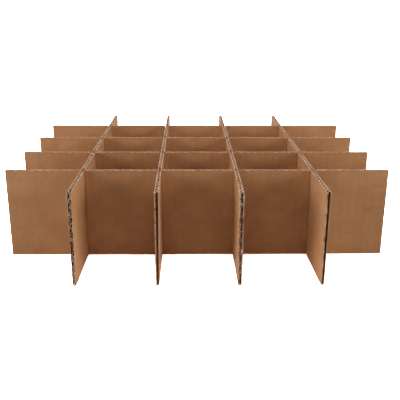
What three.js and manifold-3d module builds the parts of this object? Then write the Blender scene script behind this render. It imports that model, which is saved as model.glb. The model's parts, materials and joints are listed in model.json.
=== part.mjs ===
// Slotted cell divider of corrugated board, as used inside a carton.
// Crosswise strips run along X and lengthwise strips along Y. They cross at half-height slots
// and make a grid of square cells. Every strip is three plies of paper: two flat liners with
// a fluted medium between them, its flutes standing upright.
// Millimetres, +Z up. The origin is at the centre of the underside, and -Y is the front.

import * as THREE from 'three';
import { mergeVertices } from 'three/addons/utils/BufferGeometryUtils.js';
import Module from 'manifold-3d';

// Grid
const crosswiseCount = 4;
const lengthwiseCount = 4;
const cellWidth = 65;
const cellDepth = 65;
const sideReach = 65;
const frontReach = 65;
const stripHeight = 76.5;

// Board
const linerThickness = 0.35;
const mediumThickness = 0.3;
const fluteHeight = 2.22;
const flutePitch = 6.5;
const crestFlat = 1.3;
const glueLine = 0.04;
const boardThickness = 2 * (linerThickness + glueLine) + fluteHeight;

// Slots
const slotClearance = 1.1;
const slotExtraDepth = 0.15;
const slotWidth = boardThickness + slotClearance;
const slotDepth = stripHeight / 2 + slotExtraDepth;
const cutterOverrun = 1;

// Strip lengths and places
const crosswiseLength = (lengthwiseCount - 1) * cellWidth + 2 * sideReach;
const lengthwiseLength = (crosswiseCount - 1) * cellDepth + 2 * frontReach;
const crosswisePlaces = places(crosswiseCount, cellDepth);
const lengthwisePlaces = places(lengthwiseCount, cellWidth);

// Papers
const linerPaper = new THREE.MeshStandardMaterial({ color: 0xb48862, roughness: 0.9, metalness: 0 });
const mediumPaper = new THREE.MeshStandardMaterial({ color: 0x8f6747, roughness: 0.95, metalness: 0 });

const wasm = await Module();
wasm.setup();

// Centre lines of a row of equal cells, centred on zero.
function places(count, pitch) {
  return Array.from({ length: count }, (_, index) => (index - (count - 1) / 2) * pitch);
}

function toSolid(geometry) {
  const bare = geometry.clone();
  bare.deleteAttribute('normal');
  bare.deleteAttribute('uv');
  const merged = mergeVertices(bare, 1e-4);
  const vertProperties = new Float32Array(merged.attributes.position.array);
  const triVerts = new Uint32Array(merged.index.array);
  return new wasm.Manifold(new wasm.Mesh({ numProp: 3, vertProperties, triVerts }));
}

function toGeometry(solid) {
  const { vertProperties, triVerts } = solid.getMesh();
  const geometry = new THREE.BufferGeometry();
  geometry.setAttribute('position', new THREE.BufferAttribute(vertProperties, 3));
  geometry.setIndex(new THREE.BufferAttribute(triVerts, 1));
  geometry.computeVertexNormals();
  return geometry;
}

// A box standing on z = base, centred on (x, y).
function standingBox(x, y, base, length, thickness, height) {
  const box = new THREE.BoxGeometry(length, thickness, height);
  box.translate(x, y, base + height / 2);
  return box;
}

// One face of the fluted medium: side is +1 for the face at +Y and -1 for the one at -Y.
// The mitre keeps the paper equally thick on the flats and on the slopes.
function mediumFace(firstCrest, crestCount, side) {
  const rise = fluteHeight - mediumThickness;
  const run = flutePitch / 2 - crestFlat;
  const mitre = (mediumThickness / 2) * Math.tan(Math.atan2(rise, run) / 2);
  const crestHalf = crestFlat / 2 + side * mitre;
  const troughHalf = crestFlat / 2 - side * mitre;
  const crestY = (rise + side * mediumThickness) / 2;
  const troughY = (-rise + side * mediumThickness) / 2;
  const points = [];
  for (let crest = 0; crest < crestCount; crest += 1) {
    const x = firstCrest + crest * flutePitch;
    points.push(new THREE.Vector2(x - crestHalf, crestY));
    points.push(new THREE.Vector2(x + crestHalf, crestY));
    points.push(new THREE.Vector2(x + flutePitch / 2 - troughHalf, troughY));
    points.push(new THREE.Vector2(x + flutePitch / 2 + troughHalf, troughY));
  }
  return points;
}

// The medium as it leaves the corrugator: a wave of whole flutes, longer than the strip.
function flutedWeb(length) {
  const crestCount = Math.ceil(length / flutePitch) + 2;
  const firstCrest = -(crestCount * flutePitch) / 2;
  const front = mediumFace(firstCrest, crestCount, -1);
  const back = mediumFace(firstCrest, crestCount, 1).reverse();
  const section = new THREE.Shape([...front, ...back]);
  return new THREE.ExtrudeGeometry(section, { depth: stripHeight, bevelEnabled: false });
}

// The slots of a strip, one for each strip that crosses it, cut from the top or from the bottom.
function slotCutters(crossings, cutFromTop) {
  const base = cutFromTop ? stripHeight - slotDepth : -cutterOverrun;
  const reach = slotDepth + cutterOverrun;
  const through = boardThickness + 2 * cutterOverrun;
  return crossings.map((x) => toSolid(standingBox(x, 0, base, slotWidth, through, reach)));
}

// A strip along its own X, centred, as three named plies.
function strip(name, faceNames, length, crossings, cutFromTop) {
  const cutters = slotCutters(crossings, cutFromTop);
  const slotted = (blank) => toGeometry(cutters.reduce((solid, cutter) => solid.subtract(cutter), blank));
  const linerY = (boardThickness - linerThickness) / 2;
  const liner = (y) => toSolid(standingBox(0, y, 0, length, linerThickness, stripHeight));
  const trim = toSolid(standingBox(0, 0, 0, length, boardThickness, stripHeight));
  const plies = [
    [faceNames[0], liner(-linerY), linerPaper],
    ['fluted_medium', toSolid(flutedWeb(length)).intersect(trim), mediumPaper],
    [faceNames[1], liner(linerY), linerPaper],
  ];
  const group = new THREE.Group();
  for (const [ply, blank, paper] of plies) {
    const mesh = new THREE.Mesh(slotted(blank), paper);
    mesh.name = `${name}_${ply}`;
    group.add(mesh);
  }
  return group;
}

const divider = new THREE.Group();

// Crosswise strips carry their slots in the top edge.
crosswisePlaces.forEach((y, index) => {
  const faces = ['front_liner', 'back_liner'];
  const crosswise = strip(`crosswise_strip_${index + 1}`, faces, crosswiseLength, lengthwisePlaces, true);
  crosswise.position.y = y;
  divider.add(crosswise);
});

// Lengthwise strips are turned a quarter about Z and carry their slots in the bottom edge.
lengthwisePlaces.forEach((x, index) => {
  const faces = ['right_liner', 'left_liner'];
  const lengthwise = strip(`lengthwise_strip_${index + 1}`, faces, lengthwiseLength, crosswisePlaces, false);
  lengthwise.rotation.z = Math.PI / 2;
  lengthwise.position.x = x;
  divider.add(lengthwise);
});

export default divider;
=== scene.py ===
# Looks of a slotted cell divider of corrugated kraft board.
# Eight strips stand upright and interlock at half-height slots. Every strip is built ply by ply:
# two flat liners and a fluted medium between them, slotted by the die, slit at the ends and handled.

import json
import math
import random

import bpy
import numpy as np
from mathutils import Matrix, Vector, noise

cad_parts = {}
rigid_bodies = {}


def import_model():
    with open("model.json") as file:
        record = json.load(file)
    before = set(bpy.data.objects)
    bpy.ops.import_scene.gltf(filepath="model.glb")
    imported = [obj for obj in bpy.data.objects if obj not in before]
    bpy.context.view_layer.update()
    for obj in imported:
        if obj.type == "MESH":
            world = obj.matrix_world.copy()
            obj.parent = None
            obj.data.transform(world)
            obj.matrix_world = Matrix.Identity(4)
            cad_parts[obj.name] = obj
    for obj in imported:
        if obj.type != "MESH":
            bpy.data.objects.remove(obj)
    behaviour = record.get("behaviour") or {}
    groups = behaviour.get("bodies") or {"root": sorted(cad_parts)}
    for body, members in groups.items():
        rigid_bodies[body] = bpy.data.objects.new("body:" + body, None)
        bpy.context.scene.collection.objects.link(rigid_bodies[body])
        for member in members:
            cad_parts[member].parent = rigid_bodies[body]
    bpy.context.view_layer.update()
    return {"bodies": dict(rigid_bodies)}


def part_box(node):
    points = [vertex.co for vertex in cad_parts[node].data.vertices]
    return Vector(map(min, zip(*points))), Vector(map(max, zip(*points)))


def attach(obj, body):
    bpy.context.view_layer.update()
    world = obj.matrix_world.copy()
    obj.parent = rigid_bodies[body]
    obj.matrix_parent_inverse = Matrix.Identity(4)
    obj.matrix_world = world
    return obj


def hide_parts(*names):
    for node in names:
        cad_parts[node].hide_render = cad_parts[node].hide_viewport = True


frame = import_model()

MM = 0.001

# The board: sizes that no CAD node's box gives
FLUTE_PITCH = 6.5 * MM
LINER_THICKNESS = 0.35 * MM
MEDIUM_THICKNESS = 0.3 * MM
SLOT_CLEARANCE = 1.1 * MM
SLOT_EXTRA_DEPTH = 0.15 * MM

# How finely the plies are meshed
LINER_COLUMNS_PER_FLUTE = 6
MEDIUM_COLUMNS_PER_FLUTE = 12
ROW_HEIGHT = 5 * MM
TORN_ROW_CUTS = 5
SAME_PLACE = 0.01 * MM
CUT_THRESHOLD = 1e-7
SMOOTH_ANGLE = math.radians(40)

# What the flutes and handling do to the paper
WASHBOARD = 0.07 * MM
CELL_BOW = 0.25 * MM
STUB_BOW = 0.7 * MM
BOW_AT_FOOT = 0.6
END_SPLAY = 0.16
END_CRUSH = 0.12
END_SIZE = 9 * MM
EDGE_DIP = 0.12 * MM
EDGE_DIP_LENGTH = 9 * MM
EDGE_DIP_POWER = 12
EDGE_NOISE_LAYER = 5.1

# How the medium tears at a slit end: how far in, how long a tear is, and how much it wanders and frays
TEAR_REACH = 7 * MM
TEAR_LENGTH = 3.4 * MM
TEAR_RECESS = 0.5 * MM
TEAR_WANDER = 1.15 * math.pi
FINE_TEAR = 0.35
LEAST_FRAY = 0.2
NOISE_STRETCH = 2.2
TEAR_NOISE_LAYER = 0.37

# The die crushes and spreads the paper where it cuts it, and the slitter spreads the liners less
ROLL_DEPTH = 0.6 * MM
LINER_ROLL = 0.62 * MM
MEDIUM_ROLL = 0.75 * MM
UNBACKED_SPREAD = 0.15
SLIT_SPREAD = 0.15
ROLL_FREE_OF_CROSSING = 4 * MM

# How badly each strip's two ends are torn, from 0, a clean slit along a flute, to 1
TORN_ENDS = {
    "lengthwise_strip_1": (1.0, 0.3),
    "lengthwise_strip_2": (0.06, 0.6),
    "lengthwise_strip_3": (0.75, 0.2),
    "lengthwise_strip_4": (0.1, 0.8),
    "crosswise_strip_1": (0.3, 0.5),
    "crosswise_strip_2": (0.7, 0.1),
    "crosswise_strip_3": (0.2, 0.9),
    "crosswise_strip_4": (0.5, 0.3),
}

# The studio: each softbox's place, target, size and watts, then the floor and the camera
MIDDLE = (0, 0, 0.03)
SOFTBOXES = {
    "overhead_softbox": ((0, 0, 0.55), (0, 0, 0), (0.5, 0.5), 2.6),
    "left_softbox": ((-1.2, -0.6, 0.45), MIDDLE, (0.6, 0.45), 7.5),
    "right_softbox": ((1.2, -0.6, 0.45), MIDDLE, (0.6, 0.45), 7.1),
    "rear_softbox": ((0, 1.6, 0.4), MIDDLE, (1.6, 0.5), 15.2),
}
FLOOR_SIZE = 1.4
FLOOR_DROP = 0.3 * MM
FLOOR_WHITENESS = 6.0
BOUNCE_SIZE = 2.6
BOUNCE_DROP = 0.5 * MM
BOUNCE_WHITENESS = 0.96
CAMERA_PLACE = (-8.5 * MM, -605 * MM, 213.6 * MM)
CAMERA_TURN = (math.radians(90 - 17.9), math.radians(-0.28), math.radians(-1.08))
CAMERA_LENS = 55.7


# ---------------------------------------------------------------- papers


def colour(hex_code):
    """An sRGB hex colour as linear RGBA."""
    channels = [int(hex_code[i:i + 2], 16) / 255 for i in (1, 3, 5)]
    return [c / 12.92 if c <= 0.04045 else ((c + 0.055) / 1.055) ** 2.4 for c in channels] + [1]


def add_node(tree, kind, inputs=None, stops=None, **settings):
    """Adds a node: inputs sets or links its sockets, stops its ramp, and settings its options."""
    made = tree.nodes.new(kind)
    for option, value in settings.items():
        setattr(made, option, value)
    for socket, value in (inputs or {}).items():
        if isinstance(value, bpy.types.NodeSocket):
            tree.links.new(value, made.inputs[socket])
        else:
            made.inputs[socket].default_value = value
    for index, (place, hex_code) in enumerate(stops or []):
        elements = made.color_ramp.elements
        element = elements[index] if index < len(elements) else elements.new(place)
        element.position = place
        element.color = colour(hex_code)
    return made


def new_material(name):
    """An empty node material, and the Object coordinates that every paper reads."""
    material = bpy.data.materials.new(name)
    material.use_nodes = True
    tree = material.node_tree
    tree.nodes.clear()
    place = add_node(tree, "ShaderNodeTexCoord").outputs["Object"]
    return material, tree, place


def finish_material(material, tree, base, roughness, height, bump_distance):
    """Joins colour, roughness and relief in one shader."""
    bump = add_node(tree, "ShaderNodeBump", {
        "Height": height, "Distance": bump_distance, "Strength": 1.0})
    shader = add_node(tree, "ShaderNodeBsdfPrincipled", {
        "Base Color": base,
        "Roughness": roughness,
        "Normal": bump.outputs["Normal"],
        "IOR": 1.5,
        "Specular IOR Level": 0.12,
    })
    add_node(tree, "ShaderNodeOutputMaterial", {"Surface": shader.outputs["BSDF"]})
    return material


def kraft_linerboard(name, turn):
    """Unbleached kraft linerboard: long pine fibres laid along the web, lightly pressed, dull warm brown.

    The web runs along the strip, so turn is the strip's angle about Z. The eye gets cloudy formation,
    faint streaks along the web, bark specks, and the glue lines of the flutes showing through.
    """
    material, tree, place = new_material(name)
    web = add_node(tree, "ShaderNodeMapping", {
        "Vector": place, "Rotation": (0, 0, -turn)}).outputs["Vector"]
    clouds = add_node(tree, "ShaderNodeTexNoise", {
        "Vector": web, "Scale": 1 / (22 * MM), "Detail": 5.0, "Roughness": 0.6})
    paper = add_node(tree, "ShaderNodeValToRGB", {"Fac": clouds.outputs["Fac"]}, stops=[
        (0.28, "#b58257"), (0.5, "#bd8b60"), (0.72, "#c59469")])
    # Real fibres are 0.04 mm wide and 3 mm long: drawn ten times wider, so that they show.
    along = add_node(tree, "ShaderNodeMapping", {"Vector": web, "Scale": (0.09, 1, 1)}).outputs["Vector"]
    fibres = add_node(tree, "ShaderNodeTexNoise", {
        "Vector": along, "Scale": 1 / (0.9 * MM), "Detail": 3.0, "Roughness": 0.65})
    streaks = add_node(tree, "ShaderNodeMapRange", {
        "Value": fibres.outputs["Fac"], "From Min": 0.3, "From Max": 0.7,
        "To Min": 0.945, "To Max": 1.045})
    streaked = add_node(tree, "ShaderNodeVectorMath", {
        0: paper.outputs["Color"], "Scale": streaks.outputs["Result"]}, operation="SCALE")
    # The glue lines lie a flute apart and are only just darker.
    glue = add_node(tree, "ShaderNodeTexWave", {
        "Vector": web, "Scale": math.pi / (10 * FLUTE_PITCH), "Distortion": 0.6, "Detail": 2.0,
        "Detail Scale": 1.5}, wave_type="BANDS", bands_direction="X")
    glue_tone = add_node(tree, "ShaderNodeMapRange", {
        "Value": glue.outputs["Fac"], "To Min": 0.988, "To Max": 1.006})
    lined = add_node(tree, "ShaderNodeVectorMath", {
        0: streaked.outputs["Vector"], "Scale": glue_tone.outputs["Result"]}, operation="SCALE")
    # Bark specks, up to 1 mm across and about 6 mm apart.
    bark = add_node(tree, "ShaderNodeTexVoronoi", {
        "Vector": web, "Scale": 1 / (6 * MM), "Randomness": 1.0})
    speck = add_node(tree, "ShaderNodeMapRange", {
        "Value": bark.outputs["Distance"], "From Min": 0.03, "From Max": 0.09,
        "To Min": 0.55, "To Max": 0.0})
    specked = add_node(tree, "ShaderNodeMix", {
        "Factor": speck.outputs["Result"], "A": lined.outputs["Vector"], "B": colour("#6d4829")},
        data_type="RGBA")
    roughness = add_node(tree, "ShaderNodeMapRange", {
        "Value": fibres.outputs["Fac"], "To Min": 0.78, "To Max": 0.94})
    return finish_material(material, tree, specked.outputs["Result"], roughness.outputs["Result"],
                           fibres.outputs["Fac"], 0.12 * MM)


def kraft_cut_edge(name):
    """Where the die or the slitter has cut the paper: no pressed skin, and pale fibre ends in patches."""
    material, tree, place = new_material(name)
    fuzz = add_node(tree, "ShaderNodeTexNoise", {
        "Vector": place, "Scale": 1 / (0.8 * MM), "Detail": 4.0, "Roughness": 0.7})
    patches = add_node(tree, "ShaderNodeTexNoise", {
        "Vector": place, "Scale": 1 / (4 * MM), "Detail": 3.0, "Roughness": 0.6})
    tone = add_node(tree, "ShaderNodeValToRGB", {"Fac": patches.outputs["Fac"]}, stops=[
        (0.36, "#9a6e50"), (0.5, "#d0a98c"), (0.64, "#e6c6ad")])
    return finish_material(material, tree, tone.outputs["Color"], 0.95, fuzz.outputs["Fac"], 0.15 * MM)


def medium_paper_with_painted_shade(name):
    """Fluting paper: short hardwood fibres, greyer and rougher than the liners and a little absorbent,
    and painted darker than that paper is, as painted shade for the dark holes between the flutes.
    """
    material, tree, place = new_material(name)
    clouds = add_node(tree, "ShaderNodeTexNoise", {
        "Vector": place, "Scale": 1 / (3 * MM), "Detail": 4.0, "Roughness": 0.6})
    # Painted shade: this brown is darker than the fluting paper itself, so that the flute channels look
    # dark at the cut tops and ends.
    tone = add_node(tree, "ShaderNodeValToRGB", {"Fac": clouds.outputs["Fac"]}, stops=[
        (0.3, "#5f402a"), (0.7, "#775135")])
    return finish_material(material, tree, tone.outputs["Color"], 0.93, clouds.outputs["Fac"], 0.1 * MM)


# ---------------------------------------------------------------- plies


class Strip:
    """A strip's sizes and crossings in its own frame: u along it, v through it, w up from its foot."""

    def __init__(self, body, crossing_bodies):
        self.body = body
        self.lengthwise = body.startswith("lengthwise")
        low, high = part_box(f"{body}_fluted_medium")
        along = 1 if self.lengthwise else 0
        across = 1 - along
        self.middle = Vector(((low.x + high.x) / 2, (low.y + high.y) / 2, low.z))
        self.length = high[along] - low[along]
        self.height = high.z - low.z
        self.flute_height = high[across] - low[across]
        liner_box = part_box(f"{body}_{'left_liner' if self.lengthwise else 'back_liner'}")
        self.board = 2 * max(abs(corner[across] - self.middle[across]) for corner in liner_box)
        self.turn = math.pi / 2 if self.lengthwise else 0.0
        self.crossings = []
        for other in crossing_bodies:
            other_low, other_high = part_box(f"{other}_fluted_medium")
            self.crossings.append((other_low[along] + other_high[along]) / 2 - self.middle[along])
        depth = self.height / 2 + SLOT_EXTRA_DEPTH
        self.slot_span = (-math.inf, depth) if self.lengthwise else (self.height - depth, math.inf)
        self.slot_edge = depth if self.lengthwise else self.height - depth
        self.slot_width = self.board + SLOT_CLEARANCE
        self.torn = TORN_ENDS[body]
        self.seed = 10.0 * (1 + sorted(TORN_ENDS).index(body))


def select_mode(kind):
    bpy.context.tool_settings.mesh_select_mode = tuple(kind == k for k in ("vertex", "edge", "face"))


def upright_sheet(name, strip, columns, papers):
    """A flat sheet as long and high as the strip, standing on the strip's own X axis."""
    bpy.ops.object.select_all(action="DESELECT")
    bpy.ops.mesh.primitive_grid_add(
        x_subdivisions=columns, y_subdivisions=round(strip.height / ROW_HEIGHT), size=1,
        location=(0, 0, strip.height / 2), rotation=(math.pi / 2, 0, 0))
    sheet = bpy.context.object
    sheet.name = name
    sheet.data.name = name
    sheet.scale = (strip.length, strip.height, 1)
    bpy.ops.object.transform_apply(location=True, rotation=True, scale=True)
    for paper in papers:
        sheet.data.materials.append(paper)
    return sheet


def cut_slots(sheet, strip):
    """Slits the sheet down both sides and across the end of each slot, and takes the waste out."""
    select_mode("face")
    bpy.ops.object.mode_set(mode="EDIT")
    cuts = []
    for u in strip.crossings:
        cuts += [((u + side * strip.slot_width / 2, 0, 0), (1, 0, 0)) for side in (-1, 1)]
    cuts.append(((0, 0, strip.slot_edge), (0, 0, 1)))
    for place, direction in cuts:
        bpy.ops.mesh.select_all(action="SELECT")
        bpy.ops.mesh.bisect(plane_co=place, plane_no=direction, threshold=CUT_THRESHOLD)
    bpy.ops.mesh.select_all(action="DESELECT")
    bpy.ops.object.mode_set(mode="OBJECT")
    bottom, top = strip.slot_span
    for face in sheet.data.polygons:
        u, _, w = face.center
        face.select = bottom < w < top and any(abs(u - c) < strip.slot_width / 2 for c in strip.crossings)
    bpy.ops.object.mode_set(mode="EDIT")
    bpy.ops.mesh.delete(type="FACE")
    bpy.ops.object.mode_set(mode="OBJECT")


def line_edges(sheet, strip):
    """Adds a line of points just inside the top, bottom and ends, so that a cut edge can spread."""
    inset = strip.length / 2 - ROLL_DEPTH
    cuts = [((side * inset, 0, 0), (1, 0, 0)) for side in (-1, 1)]
    cuts += [((0, 0, w), (0, 0, 1)) for w in (ROLL_DEPTH, strip.height - ROLL_DEPTH)]
    select_mode("face")
    bpy.ops.object.mode_set(mode="EDIT")
    for place, direction in cuts:
        bpy.ops.mesh.select_all(action="SELECT")
        bpy.ops.mesh.bisect(plane_co=place, plane_no=direction, threshold=CUT_THRESHOLD)
    bpy.ops.object.mode_set(mode="OBJECT")


def refine_ends(sheet, strip):
    """Adds rows near the two slit ends, where the medium is torn."""
    select_mode("edge")
    points = sheet.data.vertices
    bpy.ops.object.mode_set(mode="EDIT")
    bpy.ops.mesh.select_all(action="DESELECT")
    bpy.ops.object.mode_set(mode="OBJECT")
    for edge in sheet.data.edges:
        a, b = (points[i].co for i in edge.vertices)
        edge.select = abs(a.x - b.x) < SAME_PLACE and abs(a.x) > strip.length / 2 - TEAR_REACH
    bpy.ops.object.mode_set(mode="EDIT")
    bpy.ops.mesh.subdivide(number_cuts=TORN_ROW_CUTS)
    bpy.ops.object.mode_set(mode="OBJECT")


def mark_cut_edges(sheet, strip, side=0):
    """A vertex group of the cut edges: how far the paper spreads there, short of the crossings.

    A liner, on the strip's +v or -v side, spreads most where a flute backs it under the die.
    The medium, with no side, spreads the same all along.
    """
    group = sheet.vertex_groups.new(name="cut_edge")
    for point in sheet.data.vertices:
        u, _, w = point.co
        at_end = abs(abs(u) - strip.length / 2) < SAME_PLACE
        at_rim = min(w, strip.height - w) < SAME_PLACE
        clear = min(abs(u - c) for c in strip.crossings) > ROLL_FREE_OF_CROSSING
        backed = ((1 + side * math.cos(2 * math.pi * u / FLUTE_PITCH)) / 2) ** 2 if side else 1.0
        if at_rim and clear:
            group.add([point.index], UNBACKED_SPREAD + (1 - UNBACKED_SPREAD) * backed, "REPLACE")
        elif at_end:
            group.add([point.index], SLIT_SPREAD if side else 1.0, "REPLACE")


def thicken(sheet, thickness, rolled):
    """Gives the paper its thickness about its middle, rolled out wider where the die has cut it.

    The rim gets the cut-edge paper.
    """
    modifier = sheet.modifiers.new("paper", "SOLIDIFY")
    modifier.thickness = rolled
    modifier.vertex_group = "cut_edge"
    modifier.thickness_vertex_group = thickness / rolled
    modifier.offset = 0
    modifier.use_even_offset = True
    modifier.material_offset_rim = 1
    bpy.ops.object.modifier_apply(modifier=modifier.name)


def read_points(sheet):
    flat = np.zeros(3 * len(sheet.data.vertices))
    sheet.data.vertices.foreach_get("co", flat)
    return flat.reshape(-1, 3)


def write_points(sheet, points):
    sheet.data.vertices.foreach_set("co", points.ravel())
    sheet.data.update()


def ragged(heights, length, seed):
    """Smooth noise from -1 to 1 along the height, stretched so that it often reaches its ends."""
    values = [noise.noise((height / length, seed, TEAR_NOISE_LAYER)) for height in heights]
    return np.clip(NOISE_STRETCH * np.array(values), -1, 1)


def press_flutes(sheet, strip):
    """Presses the medium into its wave, and lets it wander and fray where a torn end was slit."""
    points = read_points(sheet)
    u, w = points[:, 0].copy(), points[:, 2]
    phase = 2 * math.pi * u / FLUTE_PITCH
    for end, torn in zip((-1, 1), strip.torn):
        inside = strip.length / 2 - end * u
        near = np.clip(1 - inside / TEAR_REACH, 0, 1)
        seed = strip.seed + 3 * end
        wander = ragged(w, TEAR_LENGTH, seed) + FINE_TEAR * ragged(w, TEAR_LENGTH / 3, seed + 1)
        phase += near ** 1.5 * torn * TEAR_WANDER * wander
        fray = LEAST_FRAY + (1 - LEAST_FRAY) * torn * np.abs(ragged(w, TEAR_LENGTH / 2, seed + 2))
        points[:, 0] -= end * near ** 3 * fray * TEAR_RECESS
    points[:, 1] = (strip.flute_height - MEDIUM_THICKNESS) / 2 * np.cos(phase)
    write_points(sheet, points)


def washboard(sheet, strip, side):
    """Draws the liner in a little between the flute crests it is glued to."""
    points = read_points(sheet)
    glued = 2 * math.pi * points[:, 0] / FLUTE_PITCH
    between = (1 - side * np.cos(glued)) / 2
    points[:, 1] = side * ((strip.board - LINER_THICKNESS) / 2 - WASHBOARD * between)
    write_points(sheet, points)


def handle(sheet, strip):
    """What packing and use did to the whole strip: slight bows, ends splayed above and crushed below."""
    points = read_points(sheet)
    u, v, w = points.T.copy()
    stops = [-strip.length / 2] + strip.crossings + [strip.length / 2]
    bow = np.zeros(len(u))
    dice = random.Random(int(strip.seed))
    for index, (start, end) in enumerate(zip(stops, stops[1:])):
        inside = (u >= start) & (u <= end)
        share = (u[inside] - start) / (end - start)
        lean = dice.uniform(-1, 1)
        if index == 0:
            bow[inside] = STUB_BOW * lean * (1 - share) ** 2
        elif index == len(stops) - 2:
            bow[inside] = STUB_BOW * lean * share ** 2
        else:
            bow[inside] = CELL_BOW * lean * np.sin(math.pi * share) ** 2
    rise = w / strip.height
    at_end = np.exp(-((strip.length / 2 - np.abs(u)) / END_SIZE) ** 2)
    spread = 1 + at_end * (END_SPLAY * rise - END_CRUSH * (1 - rise) ** 3)
    points[:, 1] = v * spread + bow * (BOW_AT_FOOT + (1 - BOW_AT_FOOT) * rise)
    uneven = np.array([noise.noise((x / EDGE_DIP_LENGTH, strip.seed, EDGE_NOISE_LAYER)) for x in u])
    points[:, 2] = w - EDGE_DIP * (0.5 + 0.5 * uneven) * rise ** EDGE_DIP_POWER
    write_points(sheet, points)


def set_in_place(sheet, strip, nodes):
    """Turns the ply to the strip's heading, moves it to its crossing, and hands it to the frame."""
    sheet.rotation_euler = (0, 0, strip.turn)
    sheet.location = strip.middle
    bpy.ops.object.transform_apply(location=True, rotation=True, scale=True)
    bpy.ops.object.shade_smooth_by_angle(angle=SMOOTH_ANGLE)
    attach(sheet, strip.body)
    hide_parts(*nodes)


def liner(strip, ply, side, papers):
    """One flat facing of the board, on the strip's +v or -v side."""
    columns = round(strip.length / FLUTE_PITCH) * LINER_COLUMNS_PER_FLUTE
    sheet = upright_sheet(f"kraft_{strip.body}_{ply}", strip, columns, papers)
    cut_slots(sheet, strip)
    line_edges(sheet, strip)
    mark_cut_edges(sheet, strip, side)
    washboard(sheet, strip, side)
    thicken(sheet, LINER_THICKNESS, LINER_ROLL)
    handle(sheet, strip)
    set_in_place(sheet, strip, [f"{strip.body}_{ply}"])


def medium(strip, papers):
    """The fluted web between the liners."""
    columns = round(strip.length / FLUTE_PITCH) * MEDIUM_COLUMNS_PER_FLUTE
    sheet = upright_sheet(f"kraft_{strip.body}_fluted_medium", strip, columns, papers)
    cut_slots(sheet, strip)
    line_edges(sheet, strip)
    refine_ends(sheet, strip)
    mark_cut_edges(sheet, strip)
    press_flutes(sheet, strip)
    thicken(sheet, MEDIUM_THICKNESS, MEDIUM_ROLL)
    handle(sheet, strip)
    set_in_place(sheet, strip, [f"{strip.body}_fluted_medium"])


# ---------------------------------------------------------------- the divider

cut_edge = kraft_cut_edge("kraft_cut_edge")
fluting = medium_paper_with_painted_shade("semichemical_fluting_with_painted_shade")
crosswise_bodies = sorted(body for body in frame["bodies"] if body.startswith("crosswise"))
lengthwise_bodies = sorted(body for body in frame["bodies"] if body.startswith("lengthwise"))
for bodies, others, plies, turn in (
        (crosswise_bodies, lengthwise_bodies, ("front_liner", "back_liner"), 0.0),
        (lengthwise_bodies, crosswise_bodies, ("right_liner", "left_liner"), math.pi / 2)):
    linerboard = kraft_linerboard("kraft_linerboard_" + bodies[0].split("_")[0], turn)
    for body in bodies:
        strip = Strip(body, others)
        liner(strip, plies[0], -1, [linerboard, cut_edge])
        medium(strip, [fluting, cut_edge])
        liner(strip, plies[1], 1, [linerboard, cut_edge])


# ---------------------------------------------------------------- studio


def floor_plane(name, size, drop, whiteness):
    """A matt square just below the strips' feet."""
    bpy.ops.object.select_all(action="DESELECT")
    bpy.ops.mesh.primitive_plane_add(size=size, location=(0, 0, -drop))
    floor = bpy.context.object
    floor.name = name
    paint = bpy.data.materials.new(f"{name}_paint")
    paint.use_nodes = True
    tree = paint.node_tree
    tree.nodes.clear()
    matt = add_node(tree, "ShaderNodeBsdfDiffuse", {"Color": (whiteness, whiteness, whiteness, 1)})
    add_node(tree, "ShaderNodeOutputMaterial", {"Surface": matt.outputs["BSDF"]})
    floor.data.materials.append(paint)
    return floor


def pale_floor():
    """A white table, overexposed: one plane throws light back on the board, a brighter one is seen."""
    bounce = floor_plane("floor_bounce", BOUNCE_SIZE, BOUNCE_DROP, BOUNCE_WHITENESS)
    bounce.visible_camera = False
    seen = floor_plane("floor", FLOOR_SIZE, FLOOR_DROP, FLOOR_WHITENESS)
    for ray in ("diffuse", "transmission", "shadow"):
        setattr(seen, f"visible_{ray}", False)


def softbox(name, location, target, size, power):
    """A rectangular area light aimed at its target, which the camera doesn't see."""
    light = bpy.data.lights.new(name, "AREA")
    light.shape = "RECTANGLE"
    light.size, light.size_y = size
    light.energy = power
    lamp = bpy.data.objects.new(name, light)
    lamp.location = location
    lamp.rotation_euler = (Vector(target) - Vector(location)).to_track_quat("-Z", "Y").to_euler()
    lamp.visible_camera = False
    bpy.context.scene.collection.objects.link(lamp)


def studio_light():
    """Soft light from above, from both front quarters and low from behind, before a white backdrop."""
    world = bpy.data.worlds.new("studio")
    bpy.context.scene.world = world
    world.use_nodes = True
    tree = world.node_tree
    backdrop = tree.nodes["Background"]
    backdrop.inputs["Color"].default_value = colour("#ffffff")
    seen = add_node(tree, "ShaderNodeLightPath").outputs["Is Camera Ray"]
    tree.links.new(seen, backdrop.inputs["Strength"])
    for name, settings in SOFTBOXES.items():
        softbox(name, *settings)


def camera():
    """In front of the divider, looking down on it by about 18 degrees."""
    lens = bpy.data.cameras.new("camera")
    lens.sensor_width = 36
    lens.lens = CAMERA_LENS
    seer = bpy.data.objects.new("camera", lens)
    seer.location = CAMERA_PLACE
    seer.rotation_euler = CAMERA_TURN
    bpy.context.scene.collection.objects.link(seer)
    bpy.context.scene.camera = seer


pale_floor()
studio_light()
camera()
bpy.context.scene.view_settings.view_transform = "Standard"
